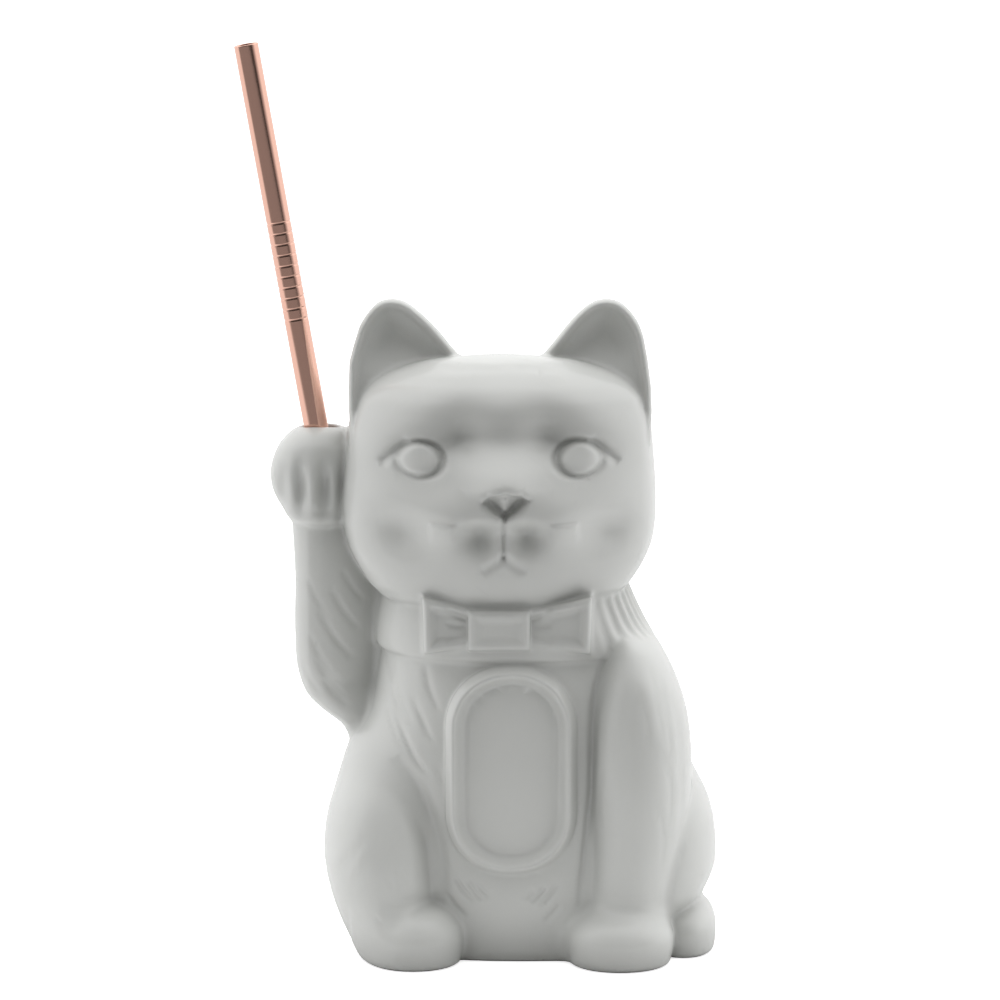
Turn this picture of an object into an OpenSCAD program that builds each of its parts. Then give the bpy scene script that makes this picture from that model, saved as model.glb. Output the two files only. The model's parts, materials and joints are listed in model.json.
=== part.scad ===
// Beckoning cat tiki mug: a hollow glazed cat that holds the drink, with a metal
// straw that drops through the raised paw and the arm into the body.
// The cat faces -Y, +X is its left side, and the origin is the middle of its base.

/* [Body] */
// Width over the haunches
body_w = 97.6; // [81:0.1:118]
// Depth of the body without the paws
body_d = 76; // [64:0.5:92]
// Height of the joint between the body and the head
body_h = 96; // [80:0.5:116]
// Thickness of the cast wall
wall = 4.5; // [3.5:0.1:5.4]
// Thickness of the floor of the mug
floor_t = 6; // [4:0.5:8]

/* [Head] */
// Width of the head
head_w = 76.8; // [64:0.1:92.2]
// Depth of the head without the muzzle
head_d = 74; // [68:0.5:88]
// Height of the head from the chin to the crown
head_h = 61.5; // [52:0.1:73.8]
// Sideways place of the head's middle
head_x = -5.3; // [-8:0.1:0]
// How far the chin hangs below the neck joint
chin_drop = 9; // [6:0.5:12]
// How far the muzzle stands out of the face
muzzle_out = 4; // [2:0.5:6]
// Bore of the mouth behind the ears, where the drink is poured in
mouth_d = 35; // [29:0.5:38]
// Thickness of the lip round the mouth
lip_wall = 4; // [3:0.5:5]
// Length of the mouth's straight bore
mouth_len = 10.5; // [8:0.5:13]
// Bore of the passage between the head and the body
neck_d = 44; // [36:0.5:48]

/* [Ears] */
// Height of the ear tips over the crown
ear_rise = 12.7; // [10:0.1:15.3]
// Width of an ear where it leaves the head
ear_w = 26; // [22:0.5:32]
// Thickness of an ear at its foot
ear_t = 8; // [6:0.5:10]
// Gap between the two ears at the crown
ear_gap = 21.4; // [16:0.2:26]

/* [Raised arm] */
// Width of the forearm
arm_w = 20; // [17:0.5:24]
// Width of the raised paw
paw_w = 24.6; // [21:0.2:29.5]
// Height of the raised paw
paw_h = 24; // [20:0.5:28.8]
// Bore of the straw channel through the paw and the arm
channel_d = 8.8; // [7.4:0.1:10.5]
// Distance of the straw from the middle of its channel
straw_offset = 1.1; // [0:0.1:1.1]

/* [Legs and tail] */
// Width of the standing foreleg
leg_w = 25; // [21:0.5:30]
// Width of the paw under the standing foreleg
front_paw_w = 26.8; // [22:0.2:32]
// Width of the hind foot in front of the right haunch
hind_foot_w = 21; // [17:0.5:25]
// Thickness of the tail
tail_d = 13; // [11:0.5:15.6]

/* [Collar, bow and medallion] */
// Height of the collar band
collar_h = 13; // [11:0.5:15]
// How far the collar stands out of the neck
collar_t = 2.4; // [2:0.1:3]
// Span of the bow tie
bow_w = 40.6; // [34:0.2:48]
// Height of the bow tie's wings
bow_h = 13.4; // [11:0.2:16]
// Width of the knot of the bow tie
knot_w = 15; // [12:0.5:18]
// Width of the medallion
medal_w = 32; // [27:0.5:38]
// Height of the medallion
medal_h = 51.6; // [43:0.2:56]
// How far the medallion's rim stands out of the belly
medal_t = 2.2; // [1.8:0.1:3]
// Width of the medallion's raised rim
rim_w = 3.9; // [3:0.1:5]

/* [Straw] */
// Outside diameter of the straw
straw_d = 6; // [5:0.1:7.2]
// Wall of the straw
straw_wall = 0.5; // [0.3:0.05:0.6]
// Length of the straw
straw_len = 220; // [200:1:266]
// Number of fine rings turned into the straw
ring_count = 10; // [2:1:12]
// Distance from one ring to the next
ring_pitch = 2.7; // [2:0.1:3.2]
// Distance of the first ring from the straw's upper end
ring_start = 44.5; // [36:0.5:53]
// Depth of a ring
ring_depth = 0.12; // [0.05:0.01:0.15]

/* [Hidden] */

GLAZE = [0.9, 0.9, 0.88];
COPPER = [0.82, 0.52, 0.4];
OUTER_SIDES = 40; // points round an outer loft
INNER_SIDES = 32; // points round a cavity's loft
LIMB_SIDES = 28; // points round a limb's loft
STRAW_REST = 0.06; // gap between the straw's lower edge and the floor
CUT = 1; // how far a cutting solid runs past the face that it cuts

// ---- Lofts: a station is [height, middle x, half width, front y, back y, squareness] ----

function spow(v, p) = sign(v) * pow(abs(v), p);

function smooth(t) = t * t * (3 - 2 * t);

// Catmull-Rom value of column c of a station table at a height
function column(table, z, c) =
    let (
        last = len(table) - 1,
        inside = [for (i = [0:last - 1]) if (z >= table[i][0] && z <= table[i + 1][0]) i],
        k = z <= table[0][0] ? 0 : (z >= table[last][0] ? last - 1 : inside[0]),
        t = max(0, min(1, (z - table[k][0]) / (table[k + 1][0] - table[k][0]))),
        span = table[k + 1][0] - table[k][0],
        before = max(k - 1, 0),
        after = min(k + 2, last),
        m0 = (table[k + 1][c] - table[before][c]) / (table[k + 1][0] - table[before][0]) * span,
        m1 = (table[after][c] - table[k][c]) / (table[after][0] - table[k][0]) * span
    )
    table[k][c] * (2 * t * t * t - 3 * t * t + 1) + m0 * (t * t * t - 2 * t * t + t)
    + table[k + 1][c] * (3 * t * t - 2 * t * t * t) + m1 * (t * t * t - t * t);

// One ring of the loft at height z, grown outwards by grow, with a bulge on its front
function ring(table, z, sides, grow = 0, bulge = 0, bulge_w = 1) =
    let (
        cx = column(table, z, 1),
        rx = column(table, z, 2) + grow,
        front = column(table, z, 3) - grow,
        back = column(table, z, 4) + grow,
        p = 2 / column(table, z, 5),
        cy = (front + back) / 2,
        ry = (back - front) / 2
    )
    [for (i = [0:sides - 1])
        let (
            a = 360 * i / sides,
            x = rx * spow(cos(a), p),
            y = ry * spow(sin(a), p),
            push = sin(a) < 0 ? bulge * exp(-pow(x / bulge_w, 2)) * -sin(a) : 0
        )
        [cx + x, cy + y - push, z]];

module skin(rings) {
    sides = len(rings[0]);
    last = len(rings) - 1;
    polyhedron(
        points = [for (r = rings) each r],
        faces = concat(
            [[for (i = [0:sides - 1]) i]],
            [for (j = [0:last - 1], i = [0:sides - 1])
                let (a = j * sides + i, b = j * sides + (i + 1) % sides)
                each [[a, a + sides, b], [b, a + sides, b + sides]]],
            [[for (i = [sides - 1:-1:0]) last * sides + i]]),
        convexity = 8);
}

// Heights of a loft's rings, closer together towards both ends
function ease(from, to, count) =
    [for (i = [0:count]) from + (to - from) * (1 - cos(180 * i / count)) / 2];

// ---- Body ----

half_w = body_w / 2;
half_d = body_d / 2;

// Heights are shares of the neck joint's, widths of half the width, depths of half the depth
BODY = [for (s = [
    [0.00, -0.01, 0.850, -0.80, 0.88, 2.6],
    [0.04, -0.01, 0.885, -0.85, 0.94, 2.6],
    [0.14, -0.01, 0.890, -0.88, 1.01, 2.4],
    [0.28, -0.01, 0.875, -0.91, 1.03, 2.3],
    [0.40, -0.01, 0.870, -0.94, 1.00, 2.3],
    [0.50, -0.02, 0.860, -0.95, 0.94, 2.3],
    [0.60, -0.03, 0.828, -0.94, 0.88, 2.3],
    [0.71, -0.045, 0.765, -0.92, 0.82, 2.2],
    [0.80, -0.065, 0.690, -0.87, 0.76, 2.1],
    [0.90, -0.090, 0.625, -0.80, 0.70, 2.0],
    [1.00, -0.109, 0.590, -0.74, 0.66, 2.0]
]) [s[0] * body_h, s[1] * half_w, s[2] * half_w, s[3] * half_d, s[4] * half_d, s[5]]];

// The haunches bulge out of both sides: height, outer reach, inner reach, front, back
function haunch(side) = [for (s = [
    [0.00, 0.895, 0.40, -0.72, 0.60],
    [0.05, 0.930, 0.38, -0.82, 0.68],
    [0.14, 0.975, 0.37, -0.92, 0.76],
    [0.27, 1.000, 0.40, -0.97, 0.78],
    [0.37, 0.982, 0.48, -0.92, 0.68],
    [0.43, 0.935, 0.56, -0.80, 0.50],
    [0.465, 0.860, 0.64, -0.62, 0.24]
]) [s[0] * body_h, side * (s[1] + s[2]) / 2 * half_w, (s[1] - s[2]) / 2 * half_w,
    s[3] * half_d, s[4] * half_d, 2.2]];

module body_outer() {
    skin([for (z = ease(0, body_h, 20)) ring(BODY, z, OUTER_SIDES)]);
    for (side = [-1, 1])
        skin([for (z = ease(0, 0.465 * body_h, 12)) ring(haunch(side), z, LIMB_SIDES)]);
}

// Inside of the body: the outer form drawn in by the wall, up past the neck joint
module body_cavity() {
    round_r = wall;
    skin([for (z = ease(floor_t, body_h + CUT, 16))
        let (h = z - floor_t, tuck = h < round_r ? round_r - sqrt(h * (2 * round_r - h)) : 0)
        ring(BODY, z, INNER_SIDES, -wall - tuck)]);
}

function body_left(z) = column(BODY, z, 1) - column(BODY, z, 2);
function body_right(z) = column(BODY, z, 1) + column(BODY, z, 2);
function body_front(z) = column(BODY, z, 3);
function body_back(z) = column(BODY, z, 4);

module torso_shell() {
    color(GLAZE)
    difference() {
        body_outer();
        body_cavity();
        channel();
    }
}

// ---- Head ----

head_z = body_h - chin_drop;
crown_z = head_z + head_h;
head_half_d = head_d / 2;
lip_z = crown_z - 0.11 * head_h;
mouth_z = lip_z - mouth_len;
mouth_r = mouth_d / 2;
lip_r = mouth_r + lip_wall;
// Back of the flat ceiling that the mouth's bore opens into
ceiling_back = 0.93 * head_half_d - wall;
mouth_y = ceiling_back - mouth_r - 0.3;
lip_front = mouth_y - lip_r;

HEAD = [for (s = [
    [0.000, 0.42, -0.76, 0.00, 2.2],
    [0.023, 0.66, -0.87, 0.30, 2.2],
    [0.060, 0.81, -0.93, 0.52, 2.2],
    [0.110, 0.895, -0.98, 0.70, 2.25],
    [0.190, 0.958, -1.02, 0.85, 2.25],
    [0.300, 0.990, -1.04, 0.93, 2.25],
    [0.450, 0.995, -1.03, 0.97, 2.25],
    [0.620, 0.975, -0.98, 0.98, 2.25],
    [0.760, 0.955, -0.91, 0.96, 2.25],
    [0.840, 0.900, -0.81, 0.91, 2.25]
]) [head_z + s[0] * head_h, head_x, s[1] * head_w / 2, s[2] * head_half_d, s[3] * head_half_d, s[4]]];

// The crown is a ridge in front of the mouth, so its stations narrow to the ridge line
ridge_y = lip_front - 1.5;
CROWN = [for (s = [
    [0.840, 0.900, -0.81, 0.91, 2.25],
    [0.890, 0.775, -0.71, 0.55, 2.2],
    [0.935, 0.590, -0.61, 0.00, 2.1],
    [0.975, 0.370, -0.49, -0.20, 2.0],
    [1.000, 0.130, -0.40, -0.25, 2.0]
]) [head_z + s[0] * head_h, head_x, s[1] * head_w / 2, s[2] * head_half_d,
    s[0] < 0.9 ? s[3] * head_half_d : ridge_y + (1 - s[0]) * head_h, s[4]]];

muzzle_z = head_z + 0.38 * head_h;
muzzle_h = 0.24 * head_h;
function muzzle(z) = muzzle_out * exp(-pow((z - muzzle_z) / muzzle_h, 2));

module head_outer() {
    skin(concat(
        [for (z = ease(HEAD[0][0], HEAD[9][0], 18))
            ring(HEAD, z, OUTER_SIDES, 0, muzzle(z), head_w / 5)],
        [for (i = [1:6])
            let (z = CROWN[0][0] + (CROWN[4][0] - CROWN[0][0]) * i / 6)
            ring(CROWN, z, OUTER_SIDES)]));
    translate([head_x, mouth_y, mouth_z]) cylinder(r = lip_r, h = mouth_len, $fn = 96);
}

module head_cavity() {
    foot = body_h + wall;
    skin([for (i = [0:10])
        let (z = foot + (mouth_z - foot) * i / 10, h = z - foot, top = mouth_z - z,
             tuck = h < wall ? wall - sqrt(h * (2 * wall - h)) : 0)
        ring(HEAD, z, INNER_SIDES, -wall - tuck)]);
}

module mouth_bore() {
    translate([head_x, mouth_y, mouth_z - CUT])
        cylinder(r = mouth_r, h = mouth_len + 2 * CUT, $fn = 96);
    translate([head_x, mouth_y, lip_z]) cylinder(r = lip_r + 1, h = crown_z - lip_z + CUT, $fn = 96);
}

module neck_passage() {
    translate([column(BODY, body_h, 1), (body_front(body_h) + body_back(body_h)) / 2, body_h - CUT])
        cylinder(r = neck_d / 2, h = wall + 2 * CUT, $fn = 96);
}

// A low dome on the face: its rings are ovals in the XZ plane, drawn in towards the front
module dome(x, z, w, h, y_back, y_front) {
    skin([for (i = [0:4])
        let (t = i / 4, r = sqrt(1 - 0.96 * t * t))
        [for (k = [0:LIMB_SIDES - 1])
            let (a = 360 * k / LIMB_SIDES)
            [x + w / 2 * r * cos(a), y_back + (y_front - y_back) * t, z + h / 2 * r * sin(a)]]]);
}

eye_w = 0.142 * head_w;
eye_h = 0.14 * head_h;
eye_x = 0.253 * head_w;
eye_z = head_z + 0.62 * head_h;
eye_y = -0.925 * head_half_d;
nose_z = head_z + 0.46 * head_h;
nose_y = -1.03 * head_half_d - 0.9 * muzzle_out;

module face() {
    for (side = [-1, 1])
        dome(head_x + side * eye_x, eye_z, eye_w, eye_h, eye_y + 6, eye_y - 1.2);
    dome(head_x + 1, nose_z, 0.155 * head_w, 0.115 * head_h, nose_y + 6, nose_y - 1.8);
}

module head_shell() {
    color(GLAZE)
    difference() {
        union() {
            head_outer();
            face();
        }
        head_cavity();
        body_outer();
        neck_passage();
        mouth_bore();
    }
}

// ---- Ears: upright plates with a dished front, standing on the crown's ridge ----

ear_top = crown_z + ear_rise;
ear_foot = head_z + 0.72 * head_h;
ear_back = min(lip_front + 3.2, ridge_y + ear_t / 2);

// side is 1 for the left ear and -1 for the right one
module ear(side) {
    inner = ear_gap / 2;
    outer = inner + ear_w;
    tip = inner + 0.62 * ear_w;
    color(GLAZE)
    difference() {
        skin([for (i = [0:10])
            let (
                t = i / 10,
                z = ear_foot + (ear_top - ear_foot) * sin(90 * t),
                w = ear_w / 2 * sqrt(1 - pow(sin(90 * t), 3)) + 0.6,
                cx = (inner + outer) / 2 + ((tip - (inner + outer) / 2)) * pow(t, 2),
                th = (ear_t * (1 - 0.5 * t)) / 2
            )
            [for (k = [0:LIMB_SIDES - 1])
                let (a = 360 * k / LIMB_SIDES)
                [head_x + side * cx + w * cos(a), ear_back - th + th * sin(a), z]]]);
        head_outer();
    }
}

module right_ear() { ear(-1); }
module left_ear() { ear(1); }

// ---- Raised arm and the straw channel ----

paw_x = head_x - head_w / 2 - 0.26 * paw_w;
paw_y = 3;
paw_top = head_z + 0.684 * head_h;
paw_foot = paw_top - paw_h;
elbow_z = 0.545 * body_h;
arm_bow = body_left(0.8 * body_h) - 0.52 * arm_w;

// Channel axis: from the middle of the hole in the paw down to a point on the mug's floor
hole = [paw_x, paw_y - 1, paw_top];
channel_foot = [-0.585 * half_w, 0.18 * half_d, floor_t];
channel_dir = (hole - channel_foot) / norm(hole - channel_foot);

// Turns +Z onto the channel's direction
module along_channel() {
    rotate([0, acos(channel_dir[2]), atan2(channel_dir[1], channel_dir[0])]) children();
}

// The channel is a many-sided bore, so that it meets the lofts face to face
module channel() {
    above = norm(hole - channel_foot) + paw_h;
    below = 2 * channel_d;
    translate(channel_foot) along_channel()
        skin([for (z = [below, above]) [for (k = [0:INNER_SIDES - 1])
            let (a = 360 * k / INNER_SIDES)
            [channel_d / 2 * cos(a), channel_d / 2 * sin(a), z]]]);
}

// Height, middle x, half width, front y, back y
ARM = [
    [elbow_z, body_left(elbow_z) + 3, 3.0, paw_y - 6, paw_y + 6, 2],
    [elbow_z + 4, (body_left(elbow_z) * 2 + arm_bow) / 3 + 2, 6.5, paw_y - 8, paw_y + 8, 2],
    [elbow_z + 9, (body_left(elbow_z) + arm_bow) / 2 - 0.5, 9.0, paw_y - 9.5, paw_y + 9.5, 2.1],
    [elbow_z + 15, arm_bow + 1.2, 0.5 * arm_w, paw_y - 10.5, paw_y + 10.5, 2.2],
    [elbow_z + 24, arm_bow, 0.51 * arm_w, paw_y - 10.5, paw_y + 10.5, 2.2],
    [(elbow_z + paw_foot) / 2 + 10, (arm_bow + paw_x + 2) / 2, 0.49 * arm_w, paw_y - 10, paw_y + 10, 2.2],
    [paw_foot + 2, paw_x + 2, 0.46 * arm_w, paw_y - 9, paw_y + 10, 2.2]
];

PAW = [for (s = [
    [0.00, 0.66, -0.70, 0.74],
    [0.08, 0.84, -0.92, 0.88],
    [0.22, 0.96, -1.08, 0.96],
    [0.45, 1.00, -1.12, 1.00],
    [0.68, 0.97, -1.05, 0.98],
    [0.86, 0.84, -0.88, 0.86],
    [0.96, 0.62, -0.62, 0.66],
    [1.00, 0.44, -0.44, 0.48]
]) [paw_foot + s[0] * paw_h, paw_x, s[1] * paw_w / 2, paw_y + s[2] * paw_w / 2,
    paw_y + s[3] * paw_w / 2, 2.3]];

module arm_outer() {
    skin([for (z = ease(elbow_z, paw_foot + 2, 14)) ring(ARM, z, LIMB_SIDES)]);
}

module paw_outer() {
    skin([for (z = ease(paw_foot, paw_top, 12)) ring(PAW, z, LIMB_SIDES)]);
}

module raised_arm() {
    color(GLAZE)
    difference() {
        arm_outer();
        body_outer();
        collar_outer();
        head_outer();
        channel();
    }
}

module raised_paw() {
    color(GLAZE)
    difference() {
        paw_outer();
        arm_outer();
        head_outer();
        channel();
    }
}

// ---- Standing foreleg, hind feet and tail ----

leg_x = 0.575 * half_w;
LEG = [for (s = [
    [0.00, -0.07, 0.84, -0.86, 0.0],
    [0.06, -0.07, 0.88, -0.90, 0.0],
    [0.16, -0.04, 0.89, -0.93, 0.0],
    [0.32, 0.01, 0.98, -0.98, 0.1],
    [0.50, 0.01, 1.04, -1.00, 0.2],
    [0.66, 0.00, 0.95, -0.95, 0.2],
    [0.77, -0.03, 0.68, -0.84, 0.1],
    [0.84, -0.07, 0.43, -0.68, -0.1]
]) [s[0] * body_h, leg_x + s[1] * half_w, s[2] * leg_w / 2, s[3] * half_d, s[4] * half_d, 2.3]];

// A foot: a low dome on an egg-shaped sole
function foot_table(x, w, front, back, h) = [for (s = [
    [0.00, 0.86, 0.90],
    [0.12, 0.96, 0.98],
    [0.35, 1.00, 1.00],
    [0.60, 0.95, 0.94],
    [0.80, 0.80, 0.80],
    [0.94, 0.54, 0.56],
    [1.00, 0.30, 0.34]
]) let (mid = (front + back) / 2, half = (back - front) / 2)
    [s[0] * h, x, s[1] * w / 2, mid - s[2] * half, mid + s[2] * half, 2.3]];

FRONT_PAW = foot_table(leg_x - 0.08 * half_w, front_paw_w, -1.14 * half_d, -0.35 * half_d, 0.135 * body_h);
RIGHT_FOOT = foot_table(-0.51 * half_w, hind_foot_w, -1.10 * half_d, -0.45 * half_d, 0.165 * body_h);
LEFT_FOOT = foot_table(0.87 * half_w, 0.245 * half_w, -0.58 * half_d, 0.35 * half_d, 0.145 * body_h);

module foot(table) {
    skin([for (z = ease(0, table[6][0], 8)) ring(table, z, LIMB_SIDES)]);
}

module leg_outer() {
    skin([for (z = ease(0, LEG[7][0], 14)) ring(LEG, z, LIMB_SIDES)]);
}

module left_foreleg() {
    color(GLAZE)
    difference() {
        union() {
            leg_outer();
            foot(FRONT_PAW);
        }
        body_outer();
        collar_outer();
        medallion_blank();
    }
}

module right_hind_foot() {
    color(GLAZE)
    difference() {
        foot(RIGHT_FOOT);
        body_outer();
    }
}

module left_hind_foot() {
    color(GLAZE)
    difference() {
        foot(LEFT_FOOT);
        body_outer();
        leg_outer();
        foot(FRONT_PAW);
    }
}

// The tail lies against the back, curling up from the floor to a round tip
module tail() {
    tail_r = 0.30 * body_h;
    tail_x = 0.10 * half_w;
    stations = 14;
    color(GLAZE)
    difference() {
        skin([for (i = [0:stations])
            let (
                t = i / stations,
                turn = 6 + 84 * t,
                blunt = min(1, sqrt(1 - pow(max(0, t - 0.85) / 0.16, 2))) * min(1, 0.7 + 3 * t),
                r = tail_d / 2 * blunt,
                z = tail_d / 2 + tail_r * sin(turn),
                y = body_back(z) + 0.05 * tail_d
            )
            [for (k = [0:LIMB_SIDES - 1])
                let (a = 360 * k / LIMB_SIDES, out = tail_r + r * cos(a))
                [tail_x - tail_r + out * cos(turn), y + r * sin(a), tail_d / 2 + out * sin(turn)]]]);
        body_outer();
    }
}

// ---- Collar, bow tie and medallion ----

collar_z = 0.79 * body_h;
collar_top = collar_z + collar_h;

module collar_outer() {
    skin([for (i = [0:6])
        let (t = i / 6, z = collar_z + collar_h * t)
        ring(BODY, z, OUTER_SIDES, collar_t * (1 - pow(abs(2 * t - 1), 4) * 0.6))]);
}

module collar_band() {
    color(GLAZE)
    difference() {
        collar_outer();
        body_outer();
        head_outer();
    }
}

bow_x = column(BODY, collar_z + bow_h / 2, 1) - 0.5;
bow_front = body_front(collar_z) - collar_t - 1.6;
bow_depth = 12;

// Outline of both wings with the knot's block between them
module bow_outline() {
    polygon([[-bow_w / 2, -bow_h / 2], [-knot_w / 2, -0.34 * bow_h], [knot_w / 2, -0.34 * bow_h],
             [bow_w / 2, -bow_h / 2], [bow_w / 2, bow_h / 2], [knot_w / 2, 0.34 * bow_h],
             [-knot_w / 2, 0.34 * bow_h], [-bow_w / 2, bow_h / 2]]);
}

module bow_tie() {
    color(GLAZE)
    difference() {
        translate([bow_x, bow_front, collar_z + bow_h / 2]) rotate([-90, 0, 0]) {
            linear_extrude(bow_depth) bow_outline();
            translate([-knot_w / 2, -0.42 * bow_h, -1]) cube([knot_w, 0.84 * bow_h, bow_depth]);
        }
        collar_outer();
        body_outer();
        head_outer();
        leg_outer();
    }
}

medal_x = -0.057 * half_w;
medal_z = 0.503 * body_h;
medal_front = body_front(medal_z) - medal_t;
panel_depth = 0.8;

// A stadium standing in the XZ plane, from y0 back by depth
module stadium(w, h, y0, depth) {
    translate([medal_x, y0, medal_z]) rotate([-90, 0, 0]) linear_extrude(depth) {
        translate([0, (h - w) / 2]) circle(d = w, $fn = 96);
        translate([0, (w - h) / 2]) circle(d = w, $fn = 96);
        square([w, h - w], center = true);
    }
}

module medallion_blank() {
    stadium(medal_w, medal_h, medal_front, 12);
}

module medallion() {
    color(GLAZE)
    difference() {
        medallion_blank();
        stadium(medal_w - 2 * rim_w, medal_h - 2 * rim_w, medal_front - CUT, CUT + panel_depth);
        body_outer();
    }
}

// ---- Straw ----

straw_r = straw_d / 2;
straw_lift = straw_r * norm([channel_dir[0], channel_dir[1]]) + STRAW_REST;
straw_foot = channel_foot + channel_dir * (straw_lift / channel_dir[2])
             - [min(straw_offset, channel_d / 2 - straw_r - 0.25), 0, 0];

module straw() {
    bore_r = straw_r - straw_wall;
    color(COPPER)
    translate(straw_foot) along_channel()
    rotate_extrude($fn = 96)
        polygon(concat(
            [[bore_r, 0], [straw_r, 0]],
            [for (i = [ring_count - 1:-1:0])
                let (z = straw_len - ring_start - i * ring_pitch)
                each [[straw_r, z - 2 * ring_depth], [straw_r - ring_depth, z], [straw_r, z + 2 * ring_depth]]],
            [[straw_r, straw_len], [bore_r, straw_len]]));
}

torso_shell();
head_shell();
right_ear();
left_ear();
raised_arm();
raised_paw();
left_foreleg();
right_hind_foot();
left_hind_foot();
tail();
collar_band();
bow_tie();
medallion();
straw();
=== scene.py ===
import json
import math

import bpy
import numpy as np
import openvdb
from mathutils import Matrix, Vector


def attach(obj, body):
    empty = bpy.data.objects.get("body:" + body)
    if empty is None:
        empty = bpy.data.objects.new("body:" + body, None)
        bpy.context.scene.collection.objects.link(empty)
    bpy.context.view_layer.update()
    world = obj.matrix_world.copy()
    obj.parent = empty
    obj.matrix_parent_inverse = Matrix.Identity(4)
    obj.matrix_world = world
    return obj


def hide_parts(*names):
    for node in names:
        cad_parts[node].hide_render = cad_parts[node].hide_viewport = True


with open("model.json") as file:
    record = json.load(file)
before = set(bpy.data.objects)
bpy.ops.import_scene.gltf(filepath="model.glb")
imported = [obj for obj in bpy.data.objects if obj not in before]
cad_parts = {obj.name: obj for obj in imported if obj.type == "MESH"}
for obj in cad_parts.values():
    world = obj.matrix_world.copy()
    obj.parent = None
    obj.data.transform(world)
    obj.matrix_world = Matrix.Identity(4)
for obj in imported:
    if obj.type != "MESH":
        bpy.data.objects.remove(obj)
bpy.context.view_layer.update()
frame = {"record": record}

MM = 0.001
STEP = 0.5   # mm between samples of the clay's distance field
MERGE_FLAT = 0.025   # how far flat stretches are merged into larger faces
FAR = 9.0   # mm, what the field reads where no part reaches
LOW = np.array([-66.0, -50.0, -3.0])
HIGH = np.array([54.0, 52.0, 166.0])

# ---------------------------------------------------------------- the distance field

SIZE = np.round((HIGH - LOW) / STEP).astype(int) + 1
XS, YS, ZS = (LOW[i] + STEP * np.arange(SIZE[i]) for i in range(3))
XS, YS, ZS = (a.astype(np.float32) for a in (XS, YS, ZS))


def window(low, high):
    """Index slices of the samples inside a box, and their coordinates shaped for broadcasting."""
    at = [slice(int(np.searchsorted(a, lo)), int(np.searchsorted(a, hi, "right")))
          for a, lo, hi in zip((XS, YS, ZS), low, high)]
    return tuple(at), XS[at[0]][:, None, None], YS[at[1]][None, :, None], ZS[at[2]][None, None, :]


def curve(table, z, column):
    """A smooth curve through a table's points: rows are (z, values...)."""
    t = np.array([[row[0], row[column]] for row in table], float)
    slope = np.gradient(t[:, 1], t[:, 0])
    k = np.clip(np.searchsorted(t[:, 0], z, "right") - 1, 0, len(t) - 2)
    span = t[k + 1, 0] - t[k, 0]
    u = np.clip((z - t[k, 0]) / span, 0, 1)
    value = (t[k, 1] * (2 * u**3 - 3 * u**2 + 1) + slope[k] * span * (u**3 - 2 * u**2 + u)
             + t[k + 1, 1] * (3 * u**2 - 2 * u**3) + slope[k + 1] * span * (u**3 - u**2))
    return value.astype(np.float32)


def step(a, b, t):
    """0 at a, 1 at b, and a smooth ramp between them; b may be below a."""
    u = np.clip((t - a) / (b - a), 0, 1)
    return u * u * (3 - 2 * u)


def smin(a, b, k):
    """Union of two solids with a fillet of about k."""
    h = np.maximum(k - np.abs(a - b), 0) / k
    return np.minimum(a, b) - h * h * k * 0.25


def smax(a, b, k):
    """What two solids have in common, its edge rounded by about k."""
    return -smin(-a, -b, k)


def as_distance(f):
    """Divides a field by its own slope, so that near its surface it reads in millimetres."""
    gx, gy, gz = np.gradient(f, STEP)
    gx *= gx
    gx += gy * gy
    gx += gz * gz
    return f / np.sqrt(np.maximum(gx, 1e-3 * 0.25))


def loft(x, y, z, table, power, shift=None):
    """Ovals stacked in z: rows are (z, left x, right x, front y, middle y, back y).

    Known fault: ry jumps where the front half meets the back half, and the scale in the last line jumps
    with it. That is the likely cause of a thin sheet of clay left across the mug's chamber near y = -0.5.
    """
    left, right, front, mid, back = (curve(table, z.ravel(), c)[None, None, :] for c in range(1, 6))
    cx, rx = (left + right) / 2, np.maximum((right - left) / 2, 0.3)
    if shift is not None:
        y = y + shift
    ry = np.where(y < mid, np.maximum(mid - front, 0.3), np.maximum(back - mid, 0.3))
    p = power if np.isscalar(power) else power[None, None, :]
    f = (np.abs((x - cx) / rx) ** p + np.abs((y - mid) / ry) ** p) ** (1 / p)
    return ((f - 1) * np.minimum(rx, ry)).astype(np.float32)


def egg(x, y, z, centre, radii, power=2.0):
    """A closed oval, squarer as the power rises."""
    f = sum(np.abs((a - c) / r) ** power for a, c, r in zip((x, y, z), centre, radii)) ** (1 / power)
    return ((f - 1) * min(radii)).astype(np.float32)


def rounded(a, b, r):
    """A block from its distances along two directions, with its edge rounded to r."""
    return np.hypot(np.maximum(a, 0), np.maximum(b, 0)) + np.minimum(np.maximum(a, b), 0) - r


def upright(z, middle):
    """Stretches what lies below the middle, so that an egg stands on nearly straight sides."""
    return np.where(z < middle, middle + (z - middle) * 0.6, z)


# ---------------------------------------------------------------- relief drawn on the front, in x and z

def spot(x, z, cx, cz, sx, sz, amount, turn=0.0):
    """A round bump (or a dent, with a negative amount), turned by so many degrees."""
    c, s = math.cos(math.radians(turn)), math.sin(math.radians(turn))
    u, v = (x - cx) * c + (z - cz) * s, -(x - cx) * s + (z - cz) * c
    return amount * np.exp(-(u / sx) ** 2 - (v / sz) ** 2)


def line_distance(x, z, points):
    """Distance to a polyline, and how far along it (0 to 1) the nearest point is."""
    best = np.full(np.broadcast(x, z).shape, 1e9)
    along = np.zeros_like(best)
    lengths = [math.dist(a, b) for a, b in zip(points, points[1:])]
    total, done = sum(lengths), 0.0
    for (ax, az), (bx, bz), length in zip(points, points[1:], lengths):
        t = np.clip(((x - ax) * (bx - ax) + (z - az) * (bz - az)) / length**2, 0, 1)
        d = np.hypot(x - ax - t * (bx - ax), z - az - t * (bz - az))
        closer = d < best
        best = np.where(closer, d, best)
        along = np.where(closer, (done + t * length) / total, along)
        done += length
    return best, along


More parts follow.
